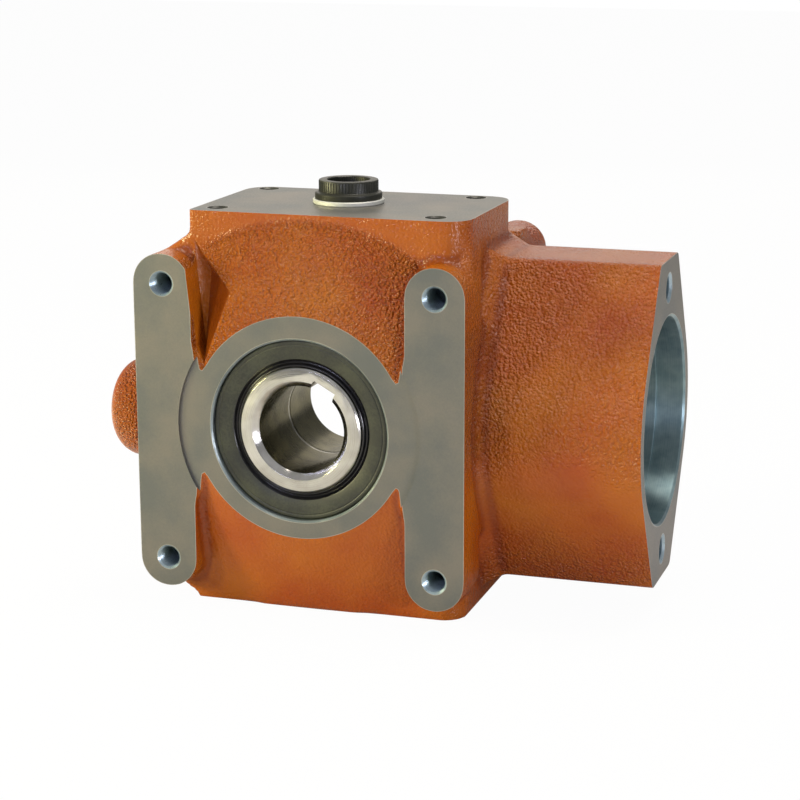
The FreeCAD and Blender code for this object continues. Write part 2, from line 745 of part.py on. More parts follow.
def rear_cover():
    """Dished rear cover: a rim in the housing, a funnel, and a nose round the end of the shaft."""
    nose_inner = rear_bearing_radius
    nose_outer = rear_bearing_radius + cover_nose_wall
    rim_rear = cover_seat + cover_thickness
    groove_middle = cover_seat + cover_thickness / 2
    body = turned([
        (nose_inner, cover_nose_front),
        (nose_outer, cover_nose_front),
        (nose_outer, cover_flare_start),
        (cover_mouth_radius + cover_funnel_wall, cover_seat),
        (cover_radius - slip_fit, cover_seat),
        (cover_radius - slip_fit, rim_rear),
        (cover_mouth_radius, rim_rear),
        (nose_inner, cover_flare_start),
    ], "Y")
    groove_half_width = cover_seal_thickness / 2 + pocket_gap
    groove = ring(cover_radius - cover_seal_thickness, cover_radius + past,
                  groove_middle - groove_half_width, groove_middle + groove_half_width, "Y")
    body.cut(groove).exportStep("parts/rear_cover.step")
    seal = Part.makeTorus(cover_radius - cover_seal_thickness / 2, cover_seal_thickness / 2 - seal_gap)
    laid(seal, "Y", (0, groove_middle, 0)).exportStep("parts/rear_cover_seal.step")
    cover_ring = retaining_ring(cover_radius - ring_height,
                                cover_radius + ring_groove_depth - slip_fit,
                                rim_rear + slip_fit, cover_ring_thickness, "Y", 90)
    cover_ring.exportStep("parts/rear_cover_ring.step")


def pinion():
    """Bevel pinion cut in one piece with its hollow, keyed shaft."""
    pitch_cone = math.atan(1 / gear_ratio)
    outer_root, inner_root = root_cone(pinion_teeth, pitch_cone, pinion_shift)
    back_face = outer_root[1] + pinion_back_length
    body = turned([
        (0, inner_root[1]),
        (inner_root[0], inner_root[1]),
        (outer_root[0], outer_root[1]),
        (outer_root[0] + pinion_back_step, back_face),
        (pinion_collar_radius, back_face),
        (pinion_collar_radius, inner_bearing_start),
        (pinion_journal_radius, inner_bearing_start),
        (pinion_journal_radius, pinion_shaft_end),
        (motor_bore_radius + motor_bore_chamfer, pinion_shaft_end),
        (motor_bore_radius, pinion_shaft_end - motor_bore_chamfer),
        (motor_bore_radius, pinion_shaft_end - motor_bore_depth),
        (0, pinion_shaft_end - motor_bore_depth - motor_bore_radius / 3),
    ], "X")
    teeth = bevel_teeth(pinion_teeth, pitch_cone, pinion_shift, -pinion_teeth / 4)
    for tooth in teeth:
        tooth.rotate(FreeCAD.Vector(0, 0, 0), FreeCAD.Vector(0, 1, 0), -90)
    keyway = box(pinion_shaft_end - motor_bore_depth, pinion_shaft_end + past,
                 -motor_key_width / 2, motor_key_width / 2, 0, motor_bore_radius + motor_key_depth)
    groove = ring(pinion_journal_radius - ring_groove_depth, pinion_journal_radius + past,
                  outer_bearing_end + slip_fit,
                  outer_bearing_end + ring_thickness + running_fit, "X")
    shaft = body.cut([keyway, groove]).fuse(teeth)
    shaft.exportStep("parts/pinion_shaft.step")

    spacer = ring(pinion_journal_radius + slip_fit, pinion_spacer_radius,
                  inner_bearing_end, outer_bearing_start, "X")
    spacer.exportStep("parts/pinion_spacer.step")
    shaft_ring = retaining_ring(pinion_journal_radius - ring_groove_depth,
                                pinion_journal_radius - ring_groove_depth + ring_height,
                                outer_bearing_end + slip_fit, ring_thickness, "X", 90)
    shaft_ring.exportStep("parts/pinion_shaft_ring.step")


def pinion_bearings():
    """Two bearings in the neck, held by a retaining ring in the bore."""
    ball_bearing("inner_pinion_bearing", "X", pinion_journal_radius, inner_bearing_radius,
                 inner_bearing_start, inner_bearing_width, inner_bearing_balls)
    ball_bearing("outer_pinion_bearing", "X", pinion_journal_radius, outer_bearing_radius,
                 outer_bearing_start, outer_bearing_width, outer_bearing_balls)
    neck_ring = retaining_ring(outer_bearing_radius - ring_height,
                               outer_bearing_radius + ring_groove_depth - slip_fit,
                               outer_bearing_end + slip_fit, neck_ring_thickness, "X", 90)
    neck_ring.exportStep("parts/neck_ring.step")


def plugs():
    """Filler plug with its washer on top, and the flush plug in the side boss."""
    seat = block_top + washer_thickness
    collar_top = seat + plug_collar_height
    head_top = collar_top + plug_head_height
    place = (block_centre_x, block_centre_y, 0)
    thread = plug_thread_radius - slip_fit
    foot = seat - plug_thread_length
    body = turned([
        (0, foot),
        (thread - plug_edge_chamfer, foot),
        (thread, foot + plug_edge_chamfer),
        (thread, seat),
        (plug_collar_radius, seat),
        (plug_collar_radius, collar_top - plug_edge_chamfer),
        (plug_collar_radius - plug_edge_chamfer, collar_top),
        (plug_head_radius, collar_top),
        (plug_head_radius, head_top - plug_edge_chamfer),
        (plug_head_radius - plug_edge_chamfer, head_top),
        (plug_socket_radius, head_top),
        (plug_socket_radius, head_top - plug_socket_depth),
        (0, head_top - plug_socket_depth),
    ], "Z", place)
    body.exportStep("parts/filler_plug.step")
    washer = ring(plug_thread_radius + pocket_gap, washer_radius, block_top, seat, "Z", place)
    washer.exportStep("parts/plug_washer.step")

    side_place = (-side_boss_end, side_boss_y, 0)
    side = ring(0, side_plug_radius - slip_fit, 0, side_plug_length, "X", side_place)
    socket = ring(0, side_plug_socket, -past, side_plug_socket_depth, "X", side_place)
    side.cut(socket).exportStep("parts/side_plug.step")


housing()
output_shaft()
crown_gear()
output_bearings()
oil_seal("front_seal", "Y", shaft_radius, front_seal_radius, seal_front, front_seal_width, -1)
oil_seal("rear_seal", "Y", rear_journal_radius, rear_bearing_radius,
         shaft_rear + rear_seal_overhang - rear_seal_width, rear_seal_width, 1)
rear_cover()
pinion()
pinion_bearings()
oil_seal("input_seal", "X", pinion_journal_radius, outer_bearing_radius,
         input_seal_start, input_seal_width, 1)
plugs()
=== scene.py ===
import math

import bpy
from mathutils import Matrix, Vector


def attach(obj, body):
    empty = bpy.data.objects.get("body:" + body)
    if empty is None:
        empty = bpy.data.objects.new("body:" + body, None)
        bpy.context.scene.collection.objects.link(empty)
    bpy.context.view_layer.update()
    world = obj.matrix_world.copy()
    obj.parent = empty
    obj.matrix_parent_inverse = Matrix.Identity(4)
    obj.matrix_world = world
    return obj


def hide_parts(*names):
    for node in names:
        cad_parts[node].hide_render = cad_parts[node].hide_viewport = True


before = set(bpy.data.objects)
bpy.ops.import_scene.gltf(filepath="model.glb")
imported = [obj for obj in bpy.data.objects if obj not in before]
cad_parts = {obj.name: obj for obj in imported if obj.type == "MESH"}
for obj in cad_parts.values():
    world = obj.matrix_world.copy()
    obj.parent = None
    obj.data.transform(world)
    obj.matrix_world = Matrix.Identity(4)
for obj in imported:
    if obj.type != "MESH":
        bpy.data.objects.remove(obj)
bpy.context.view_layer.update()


# Housing: one grey iron casting with soft corners, enamelled orange. It is made as the foundry makes
# it: rough shapes are joined into one blank whose corners are rounded, and then the pads, the block,
# the flange, the bores and the tapped holes are machined into it and stay bare.
def linear(hex_colour):
    """Turn an sRGB hex colour into the linear colour that shaders take."""
    channels = [int(hex_colour[place:place + 2], 16) / 255 for place in (1, 3, 5)]
    return tuple(c / 12.92 if c <= 0.04045 else ((c + 0.055) / 1.055) ** 2.4 for c in channels) + (1.0,)


def add_node(tree, kind, settings=None, **inputs):
    """Add a shader node; each input is a value or the socket that feeds it, and in0 is the first."""
    node = tree.nodes.new(kind)
    for name, value in (settings or {}).items():
        setattr(node, name, value)
    for name, value in inputs.items():
        key = int(name[2:]) if name.startswith("in") and name[2:].isdigit() else name.replace("_", " ")
        if isinstance(value, bpy.types.NodeSocket):
            tree.links.new(value, node.inputs[key])
        else:
            node.inputs[key].default_value = value
    return node


def start_material(name):
    """New material, with its tree, its output and the piece's own coordinates in millimetres."""
    material = bpy.data.materials.new(name)
    material.use_nodes = True
    tree = material.node_tree
    tree.nodes.clear()
    output = add_node(tree, "ShaderNodeOutputMaterial")
    place = add_node(tree, "ShaderNodeTexCoord").outputs["Object"]
    millimetres = add_node(tree, "ShaderNodeVectorMath", {"operation": "SCALE"}, in0=place,
                           Scale=1000.0)
    return material, tree, output, millimetres.outputs[0]


# Semi-gloss orange enamel, sprayed in one thick coat. The sand mould leaves a pebbled skin, most of
# all on the upper half of the front cone and of the neck, which the enamel turns into small glints.
# Low down in front it is nearly smooth. Its grains lie about 1.2 mm apart, coarser than sand, so
# that they show.
enamel, tree, output, place = start_material("orange enamel on cast iron")
x, y, z = add_node(tree, "ShaderNodeSeparateXYZ", in0=place).outputs
grains = add_node(tree, "ShaderNodeTexVoronoi", {"feature": "SMOOTH_F1"}, Vector=place, Scale=0.85,
                  Smoothness=0.4)
pebbles = add_node(tree, "ShaderNodeTexNoise", Vector=place, Scale=1.15, Detail=2.0, Roughness=0.5)
relief = add_node(tree, "ShaderNodeMath", {"operation": "SUBTRACT"}, in0=pebbles.outputs[0],
                  in1=grains.outputs[0])
slow = add_node(tree, "ShaderNodeTexNoise", Vector=place, Scale=0.03, Detail=2.0)
ragged = add_node(tree, "ShaderNodeMath", {"operation": "MULTIPLY_ADD"}, in0=slow.outputs[0],
                  in1=30.0, in2=z)
upper = add_node(tree, "ShaderNodeMapRange", {"interpolation_type": "SMOOTHSTEP"}, Value=ragged.outputs[0],
                 From_Min=-6.0, From_Max=16.0)
x_squared = add_node(tree, "ShaderNodeMath", {"operation": "MULTIPLY"}, in0=x, in1=x)
both_squared = add_node(tree, "ShaderNodeMath", {"operation": "MULTIPLY_ADD"}, in0=z, in1=z,
                        in2=x_squared.outputs[0])
radius = add_node(tree, "ShaderNodeMath", {"operation": "SQRT"}, in0=both_squared.outputs[0])
on_cone = add_node(tree, "ShaderNodeMapRange", Value=radius.outputs[0], From_Min=82.0, From_Max=79.0)
on_neck = add_node(tree, "ShaderNodeMapRange", Value=x, From_Min=60.0, From_Max=66.0, To_Max=0.55)
pebbled_part = add_node(tree, "ShaderNodeMath", {"operation": "MAXIMUM"}, in0=on_cone.outputs[0],
                        in1=on_neck.outputs[0])
pebbled = add_node(tree, "ShaderNodeMath", {"operation": "MULTIPLY"}, in0=upper.outputs[0],
                   in1=pebbled_part.outputs[0])
behind = add_node(tree, "ShaderNodeMapRange", Value=y, From_Min=-34.0, From_Max=-22.0)
all_round = add_node(tree, "ShaderNodeMix", in0=behind.outputs[0], in2=pebbled.outputs[0], in3=0.45)
amount = add_node(tree, "ShaderNodeMapRange", {"name": "amount of skin"}, Value=all_round.outputs[0],
                  To_Min=0.12, To_Max=1.0)
skin = add_node(tree, "ShaderNodeMath", {"operation": "MULTIPLY"}, in0=relief.outputs[0],
                in1=amount.outputs[0])
waves = add_node(tree, "ShaderNodeTexNoise", Vector=place, Scale=0.12, Detail=2.0)
rolling = add_node(tree, "ShaderNodeBump", Height=waves.outputs[0], Strength=0.5, Distance=0.0009)
coarse = add_node(tree, "ShaderNodeBump", Height=skin.outputs[0], Strength=1.0, Distance=0.0018,
                  Normal=rolling.outputs[0])
dust = add_node(tree, "ShaderNodeTexNoise", Vector=place, Scale=2.4, Detail=2.0)
fine = add_node(tree, "ShaderNodeBump", Height=dust.outputs[0], Strength=0.3, Distance=0.00006,
                Normal=coarse.outputs[0])
# The orange drifts between a redder and a yellower one. It is painted lighter and more golden on the
# grain tops, a painted highlight for their glints, and darker in the concave creases: partly enamel
# pooled there, mostly painted shade.
patches = add_node(tree, "ShaderNodeMapRange", Value=slow.outputs[0], From_Min=0.3, From_Max=0.75)
tone = add_node(tree, "ShaderNodeMix", {"data_type": "RGBA"}, in0=patches.outputs[0], in6=linear("#923C0A"),
                in7=linear("#A55A10"))
# Painted highlight: the grain tops are mixed towards a light golden orange, standing in for their glints
crest = add_node(tree, "ShaderNodeMapRange", Value=skin.outputs[0], From_Min=-0.1, From_Max=0.45,
                 To_Max=0.32)
grain_highlight_tone = add_node(tree, "ShaderNodeMix", {"data_type": "RGBA"}, in0=crest.outputs[0], in6=tone.outputs[2],
                    in7=linear("#C8781E"))
# Painted shade: the concave creases, found by pointiness, are mixed towards a deep red brown
hollow = add_node(tree, "ShaderNodeNewGeometry").outputs["Pointiness"]
crease_shade = add_node(tree, "ShaderNodeMapRange", {"interpolation_type": "SMOOTHSTEP"}, Value=hollow,
                  From_Min=0.499, From_Max=0.485, To_Max=0.6)
colour = add_node(tree, "ShaderNodeMix", {"data_type": "RGBA"}, in0=crease_shade.outputs[0],
                  in6=grain_highlight_tone.outputs[2], in7=linear("#6E2808"))
shader = add_node(tree, "ShaderNodeBsdfPrincipled", Base_Color=colour.outputs[2], Roughness=0.2, IOR=1.42,
                  Normal=fine.outputs[0])
tree.links.new(shader.outputs[0], output.inputs[0])

# The same enamel where the mould was smooth
smooth_enamel = enamel.copy()
smooth_enamel.name = "orange enamel on a smooth cast hollow"
smooth_enamel.node_tree.nodes["amount of skin"].inputs["To Max"].default_value = 0.12


def machined_iron(name, light, dark, metallic, roughness, bump_depth):
    """Machined cast iron with dark specks, slow stains and fine slanting tool marks."""
    material, tree, output, place = start_material(name)
    spot = add_node(tree, "ShaderNodeSeparateXYZ", in0=place)
    specks = add_node(tree, "ShaderNodeTexNoise", Vector=place, Scale=1.3, Detail=4.0, Roughness=0.65)
    stains = add_node(tree, "ShaderNodeTexNoise", Vector=place, Scale=0.05, Detail=3.0)
    both = add_node(tree, "ShaderNodeMath", {"operation": "MULTIPLY_ADD"}, in0=specks.outputs[0], in1=0.3,
                    in2=stains.outputs[0])
    amount = add_node(tree, "ShaderNodeMapRange", Value=both.outputs[0], From_Min=0.5, From_Max=0.8)
    colour = add_node(tree, "ShaderNodeMix", {"data_type": "RGBA"}, in0=amount.outputs[0], in6=linear(dark),
                      in7=linear(light))
    across = add_node(tree, "ShaderNodeMath", {"operation": "MULTIPLY_ADD"}, in0=spot.outputs["Z"],
                      in1=0.4, in2=spot.outputs["X"])
    lines = add_node(tree, "ShaderNodeTexNoise", {"noise_dimensions": "1D"}, W=across.outputs[0], Scale=1.7,
                     Detail=2.0)
    marks = add_node(tree, "ShaderNodeMath", {"operation": "ADD"}, in0=lines.outputs[0],
                     in1=specks.outputs[0])
    bump = add_node(tree, "ShaderNodeBump", Height=marks.outputs[0], Strength=0.5, Distance=bump_depth)
    shine = add_node(tree, "ShaderNodeMapRange", Value=specks.outputs[0], From_Min=0.3, From_Max=0.7,
                     To_Min=roughness + 0.06, To_Max=roughness - 0.05)
    shader = add_node(tree, "ShaderNodeBsdfPrincipled", Base_Color=colour.outputs[2], Metallic=metallic,
                      Roughness=shine.outputs[0], Normal=bump.outputs[0])
    tree.links.new(shader.outputs[0], output.inputs[0])
    return material


def turned_steel(name, light, dark, roughness, axis, spread=0.55):
    """Turned or ground steel, with fine rings round the given axis, a third of a millimetre apart."""
    material, tree, output, place = start_material(name)
    along_axis = [1.0 if letter == axis else 0.0 for letter in "XYZ"]
    off_axis = [1.0 - share for share in along_axis]
    along = add_node(tree, "ShaderNodeVectorMath", {"operation": "DOT_PRODUCT"}, in0=place, in1=along_axis)
    flat = add_node(tree, "ShaderNodeVectorMath", {"operation": "MULTIPLY"}, in0=place, in1=off_axis)
    out = add_node(tree, "ShaderNodeVectorMath", {"operation": "LENGTH"}, in0=flat.outputs[0])
    travel = add_node(tree, "ShaderNodeMath", {"operation": "ADD"}, in0=along.outputs["Value"],
                      in1=out.outputs["Value"])
    rings = add_node(tree, "ShaderNodeTexNoise", {"noise_dimensions": "1D"}, W=travel.outputs[0], Scale=3.0,
                     Detail=3.0)
    smears = add_node(tree, "ShaderNodeTexNoise", Vector=place, Scale=0.16, Detail=3.0)
    both = add_node(tree, "ShaderNodeMath", {"operation": "MULTIPLY_ADD"}, in0=rings.outputs[0], in1=0.5,
                    in2=smears.outputs[0])
    amount = add_node(tree, "ShaderNodeMapRange", Value=both.outputs[0], From_Min=0.5, From_Max=1.0)
    colour = add_node(tree, "ShaderNodeMix", {"data_type": "RGBA"}, in0=amount.outputs[0], in6=linear(dark),
                      in7=linear(light))
    shine = add_node(tree, "ShaderNodeMapRange", Value=both.outputs[0], From_Min=0.4, From_Max=1.1,
                     To_Min=roughness + 0.04, To_Max=roughness - 0.03)
    bump = add_node(tree, "ShaderNodeBump", Height=rings.outputs[0], Strength=0.4, Distance=0.00003)
    tangent = add_node(tree, "ShaderNodeTangent", {"direction_type": "RADIAL", "axis": axis})
    shader = add_node(tree, "ShaderNodeBsdfPrincipled", Base_Color=colour.outputs[2], Metallic=1.0,
                      Roughness=shine.outputs[0], Anisotropic=spread, Anisotropic_Rotation=0.25,
                      Tangent=tangent.outputs[0], Normal=bump.outputs[0])
    tree.links.new(shader.outputs[0], output.inputs[0])
    return material


# Bare grey iron. Tools leave fine marks, drawn about 0.6 mm apart so that they show, and open the
# dark graphite specks. Milled faces are dull grey, with a lighter band along their edges that is a
# painted highlight for the glint of the edge.
milled_iron = machined_iron("face milled grey iron", "#7A766F", "#696B69", 0.7, 0.44, 0.00004)
edge_highlight_iron = machined_iron("burnished iron edge", "#A9A69E", "#918E86", 0.8, 0.32, 0.00002)
# Bored iron is smoother, and is coloured cooler than the milled faces, bluish in the neck: a painted
# reflection of the room. In the neck it is fine turned, and streaks its highlights.
bored_iron = machined_iron("bored grey iron", "#8A9494", "#70797A", 0.5, 0.34, 0.00005)
neck_iron = turned_steel("bored iron of the neck", "#9CB2B8", "#768D93", 0.42, "X", 0.85)
# Threads in the pads and the flange are coloured a light bluish grey, a painted bluish glint, and
# those in the block dark, painted shade in the deep holes that face up
painted_glint_threads = machined_iron("tapped grey iron", "#A9BAC2", "#76868F", 0.6, 0.30, 0.00003)
painted_shade_threads = machined_iron("oily tapped iron", "#4C4C44", "#30302C", 0.4, 0.42, 0.00003)

# Sizes of the casting, in millimetres
mm = 0.001
pad_plane = 62.0
pad_depth = 24.0
front_wall = 50.0
body_left = -48.6
body_right = 63.0
body_bottom = -75.5
body_top = 60.0
body_corner = 9.0
block_right = 64.0
block_rear = 21.0
block_top = 83.0
block_corner = 10.0
block_middle = (4.7, -12.5)
pad_x = 55.5
pad_z = 55.5
pad_radius = 11.9
flange_plane = 132.3
allowance = 3.0
cast_grain = 1.3
reach = 200.0
clear = 70.0


def choose(piece):
    """Leave this piece alone selected and active."""
    bpy.ops.object.select_all(action="DESELECT")
    piece.select_set(True)
    bpy.context.view_layer.objects.active = piece


def settle(name):
    """Name the newest piece and put its place, turn and size into its mesh."""
    piece = bpy.context.object
    piece.name = name
    choose(piece)
    bpy.ops.object.transform_apply(location=True, rotation=True, scale=True)
    return piece


def slab(name, low, high):
    """Rectangular block between two corners, in millimetres."""
    bpy.ops.object.select_all(action="DESELECT")
    middle = [(a + b) / 2 * mm for a, b in zip(low, high)]
    size = [abs(b - a) * mm for a, b in zip(low, high)]
    bpy.ops.mesh.primitive_cube_add(size=1, location=middle, scale=size)
    return settle(name)


turn_to_axis = {"X": (0, math.pi / 2, 0), "Y": (-math.pi / 2, 0, 0), "Z": (0, 0, 0)}


def bar(name, axis, radius, start, end, centre=(0, 0, 0), sides=96):
    """Round bar along an axis, from start to end, in millimetres."""
    bpy.ops.object.select_all(action="DESELECT")
    place = Vector(centre)
    place["XYZ".index(axis)] = (start + end) / 2
    bpy.ops.mesh.primitive_cylinder_add(vertices=sides, radius=radius * mm, depth=abs(end - start) * mm,
                                        location=place * mm, rotation=turn_to_axis[axis])
    return settle(name)


def round_edges(piece, radius, chosen, segments=6):
    """Round the edges whose two ends, in millimetres, pass the test."""
    choose(piece)
    bpy.ops.object.mode_set(mode="EDIT")
    bpy.ops.mesh.select_mode(type="EDGE")
    bpy.ops.mesh.select_all(action="DESELECT")
    bpy.ops.object.mode_set(mode="OBJECT")
    points = [vertex.co / mm for vertex in piece.data.vertices]
    for edge in piece.data.edges:
        edge.select = chosen(*(points[index] for index in edge.vertices))
    bpy.ops.object.mode_set(mode="EDIT")
    bpy.ops.mesh.bevel(offset=radius * mm, segments=segments, affect="EDGES")
    bpy.ops.object.mode_set(mode="OBJECT")
    return piece


def join(name, pieces):
    """Join pieces into the first one."""
    choose(pieces[0])
    for piece in pieces:
        piece.select_set(True)
    bpy.ops.object.join()
    pieces[0].name = name
    return pieces[0]


def hull(name, pieces):
    """One convex piece stretched over the given ones."""
    piece = join(name, pieces)
    bpy.ops.object.mode_set(mode="EDIT")
    bpy.ops.mesh.select_all(action="SELECT")
    bpy.ops.mesh.convex_hull()
    bpy.ops.object.mode_set(mode="OBJECT")
    return piece


def apply_modifier(piece, kind, **settings):
    """Add a modifier with its settings and apply it."""
    modifier = piece.modifiers.new(kind.lower(), kind)
    for name, value in settings.items():
        setattr(modifier, name, value)
    choose(piece)
    bpy.ops.object.modifier_apply(modifier=modifier.name)


def machine(piece, tool, material=None, operation="DIFFERENCE"):
    """Cut a piece with a tool, whose material stays on the surface that it leaves."""
    if material:
        tool.data.materials.clear()
        tool.data.materials.append(material)
    apply_modifier(piece, "BOOLEAN", object=tool, operation=operation, solver="MANIFOLD",
                   material_mode="TRANSFER")
    bpy.data.objects.remove(tool)


def turned(name, axis, profile, centre=(0, 0, 0), sides=96):
    """Closed solid turned from (radius, place along the axis) corners, in millimetres."""
    bpy.ops.object.select_all(action="DESELECT")
    last = Vector((profile[0][0], 0, profile[0][1])) * mm
    bpy.ops.mesh.primitive_plane_add(size=mm, location=(0, 0, 0))
    bpy.ops.object.mode_set(mode="EDIT")
    bpy.ops.mesh.select_mode(type="VERT")
    bpy.ops.mesh.merge(type="CENTER")
    bpy.ops.transform.translate(value=last)
    for radius, along in profile[1:] + profile[:1]:
        corner = Vector((radius, 0, along)) * mm
        bpy.ops.mesh.extrude_region_move(TRANSFORM_OT_translate={"value": corner - last})
        last = corner
    bpy.ops.mesh.select_all(action="SELECT")
    bpy.ops.mesh.spin(steps=sides, angle=2 * math.pi, center=(0, 0, 0), axis=(0, 0, 1))
    bpy.ops.mesh.select_all(action="SELECT")
    bpy.ops.mesh.remove_doubles(threshold=1e-7)
    bpy.ops.mesh.dissolve_degenerate(threshold=1e-7)
    bpy.ops.mesh.select_all(action="SELECT")
    bpy.ops.mesh.normals_make_consistent(inside=False)
    bpy.ops.object.mode_set(mode="OBJECT")
    piece = bpy.context.object
    piece.rotation_euler = turn_to_axis[axis]
    piece.location = Vector(centre) * mm
    return settle(name)


neck_circle = 47.6
neck_flat = 17.5
neck_height = 64.8
neck_start = 57.0
root_circle = 60.5
root_flat = 24.0
root_height = 72.0
flare_start = 56.0
flare_end = 71.0
slice_depth = 0.5


def lozenge(x_place, radius, flat, height):
    """Thin slice of the neck: a circle with tangents to a flat top and bottom."""
    disc = bar("neck slice", "X", radius, x_place, x_place + slice_depth)
    strip = slab("neck flat", (x_place, -flat, -height), (x_place + slice_depth, flat, height))
    return hull("neck slice", [disc, strip])


def upright(edge_start, edge_end):
    """Whether an edge stands upright."""
    return abs(edge_start.z - edge_end.z) > 20


body = slab("body", (body_left, -front_wall, body_bottom), (body_right, front_wall, body_top))
round_edges(body, body_corner, lambda a, b: upright(a, b) and a.x > 0)
block = slab("block", (body_left, -front_wall, 0), (block_right, block_rear, block_top + allowance))
round_edges(block, block_corner, lambda a, b: upright(a, b) and (a.x > 0 or a.y > 0))

neck = hull("neck", [lozenge(neck_start, neck_circle, neck_flat, neck_height),
                     lozenge(flange_plane + allowance, neck_circle, neck_flat, neck_height)])
flare = hull("neck flare", [lozenge(flare_start, root_circle, root_flat, root_height),
                            lozenge(flare_end, neck_circle, neck_flat, neck_height)])
machine(flare, slab("limit", (0, -front_wall, body_bottom), (reach, front_wall, -body_bottom)),
        operation="INTERSECT")

# The cast cone sits a little higher than the bores, as the core shifted in the mould
boss_plane = -60.8
ring_radius = 44.3
cone_radius = 80.4
cone_slope = (-front_wall - boss_plane) / (cone_radius - ring_radius)
cone_rise = 1.5
cone = hull("front cone", [
    bar("cone tip", "Y", ring_radius - allowance / cone_slope, boss_plane - allowance, boss_plane,
        (0, 0, cone_rise)),
    bar("cone base", "Y", cone_radius, -front_wall, -front_wall + 1, sides=160),
])
machine(cone, slab("limit", (body_left, -clear, body_bottom), (body_right, 0, block_top + allowance)),
        operation="INTERSECT")

# Pads with the shoulders that tie their ends to the housing, in front (-1) and at the rear (1)
rear_boss_radius = 52.0
rear_boss_plane = 52.0
shoulder_round = pad_radius - 0.6
left_root = {-1: (59.0, 73.9), 1: (51.0, 60.1)}
left_root_width = 6.0
right_root_start = 50.0
right_root_depth = (28.0, 42.0)
right_root = {-1: (58.0, 76.0), 1: (58.0, 68.0)}
blank = [body, block, neck, flare, cone,
         bar("rear boss", "Y", rear_boss_radius, 0, rear_boss_plane + allowance)]
for face in (-1, 1):
    inside, outside = sorted((face * (pad_plane - pad_depth), face * (pad_plane + allowance)))
    back, front = sorted((face * (pad_plane - pad_depth), face * front_wall))
    for side in (-1, 1):
        ends = [bar("pad end", "Y", pad_radius, inside, outside, (side * pad_x, 0, tip * pad_z))
                for tip in (-1, 1)]
        blank.append(hull("pad", ends))
    for tip in (-1, 1):
        blank.append(hull("left shoulder", [
            bar("shoulder end", "Y", shoulder_round, back, front, (-pad_x, 0, tip * pad_z)),
            slab("shoulder root", (body_left, back, tip * left_root[face][0]),
                 (body_left + left_root_width, front, tip * left_root[face][1])),
        ]))
    blank.append(hull("right shoulder", [
        bar("shoulder end", "Y", shoulder_round, back, front, (pad_x, 0, pad_z)),
        slab("shoulder root", (right_root_start, face * right_root_depth[0], right_root[face][0]),
             (block_right, face * right_root_depth[1], right_root[face][1])),
    ]))

# Cast fillets where the cone runs into the inner sides of the front pads
inner_edge = pad_x - pad_radius
fillet_top = -62.6
fillet_foot = -57.5
fillet_width = 5.5
fillet_length = 32.0
foot_length = 20.0
for side in (-1, 1):
    blank.append(hull("pad fillet", [
        slab("fillet wall", (side * inner_edge, fillet_top, -fillet_length),
             (side * (inner_edge + 2), -front_wall, fillet_length)),
        slab("fillet foot", (side * (inner_edge - fillet_width), fillet_foot, -foot_length),
             (side * inner_edge, -front_wall, foot_length)),
    ]))

# Boss for the oil level plug, with a rounded end
side_boss_end = -84.5
side_boss_root = -40.0
side_boss_radius = 20.3
side_boss_y = -38.0
side_boss_round = 11.0
side_boss = bar("side boss", "X", side_boss_radius, side_boss_end, side_boss_root, (0, side_boss_y, 0))
round_edges(side_boss, side_boss_round, lambda a, b: max(a.x, b.x) < side_boss_end + 1)
blank.append(side_boss)

# The joined blank gets one skin, and smoothing rounds its corners as the sand does
housing = join("housing_casting", blank)
apply_modifier(housing, "REMESH", mode="VOXEL", voxel_size=cast_grain * mm)
apply_modifier(housing, "SMOOTH", factor=0.5, iterations=7)
housing.data.materials.clear()
housing.data.materials.append(enamel)

# The hollow that the pattern leaves beside the upper left pad: its corners, from which it opens
# straight to the front, and its bottom edges, which are rounded
pocket_corners = [(-46.2, -50, 71.3), (-29.4, -55.4, 52.5), (-38.9, -60.3, 24.5), (-42.2, -50.0, 31.0),
                  (-40.8, -46.5, 59.3)]
pocket_round = 3.0
pocket = hull("cast pocket", [
    slab("pocket corner", (x - 0.1, y, z - 0.1), (x + 0.1, -clear, z + 0.1)) for x, y, z in pocket_corners])
round_edges(pocket, pocket_round,
            lambda a, b: min(a.y, b.y) > -51 and min(a.x, b.x) > -43 and upright(a, b))
machine(housing, pocket, smooth_enamel)

# Face milling of the pads, the block and the flange, and the round spot faces of the two bosses
spot_radius = 49.8
rear_mill_height = 60.0
machine(housing, slab("front mill", (-reach, -reach, -reach), (reach, -pad_plane, reach)), milled_iron)
machine(housing, slab("rear mill", (-reach, pad_plane, -reach), (reach, reach, reach)), milled_iron)
machine(housing, slab("block mill", (-reach, -reach, block_top), (reach, reach, reach)), milled_iron)
machine(housing, slab("flange mill", (flange_plane, -reach, -reach), (reach, reach, reach)), milled_iron)
machine(housing, bar("front spot face", "Y", spot_radius, -clear, boss_plane, sides=160), milled_iron)
machine(housing, bar("rear spot face", "Y", spot_radius, rear_boss_plane, clear, sides=160), milled_iron)
machine(housing, slab("rear boss mill", (-inner_edge, rear_boss_plane, -rear_mill_height),
                      (inner_edge, clear, rear_mill_height)), milled_iron)

# Bores along the output axis, front to rear: chamfered seal bore, stop, bearing bore, cavity, and
# cover bore with the groove of its ring
seal_bore = 36.0
seal_stop = 34.0
front_bearing_bore = 40.0
cavity = 43.0
cover_bore = 45.0
cover_groove = 46.2
machine(housing, turned("output bores", "Y", [
    (0, -clear), (46.0, -clear), (36.7, boss_plane), (seal_bore, -60.1), (seal_bore, -51),
    (seal_stop, -51), (seal_stop, -49), (front_bearing_bore, -49), (front_bearing_bore, -33),
    (cavity, -33), (cavity, 40), (cover_bore, 40), (cover_bore, 46), (cover_groove, 46),
    (cover_groove, 48.5), (cover_bore, 48.5), (cover_bore, clear), (0, clear)], sides=160), bored_iron)
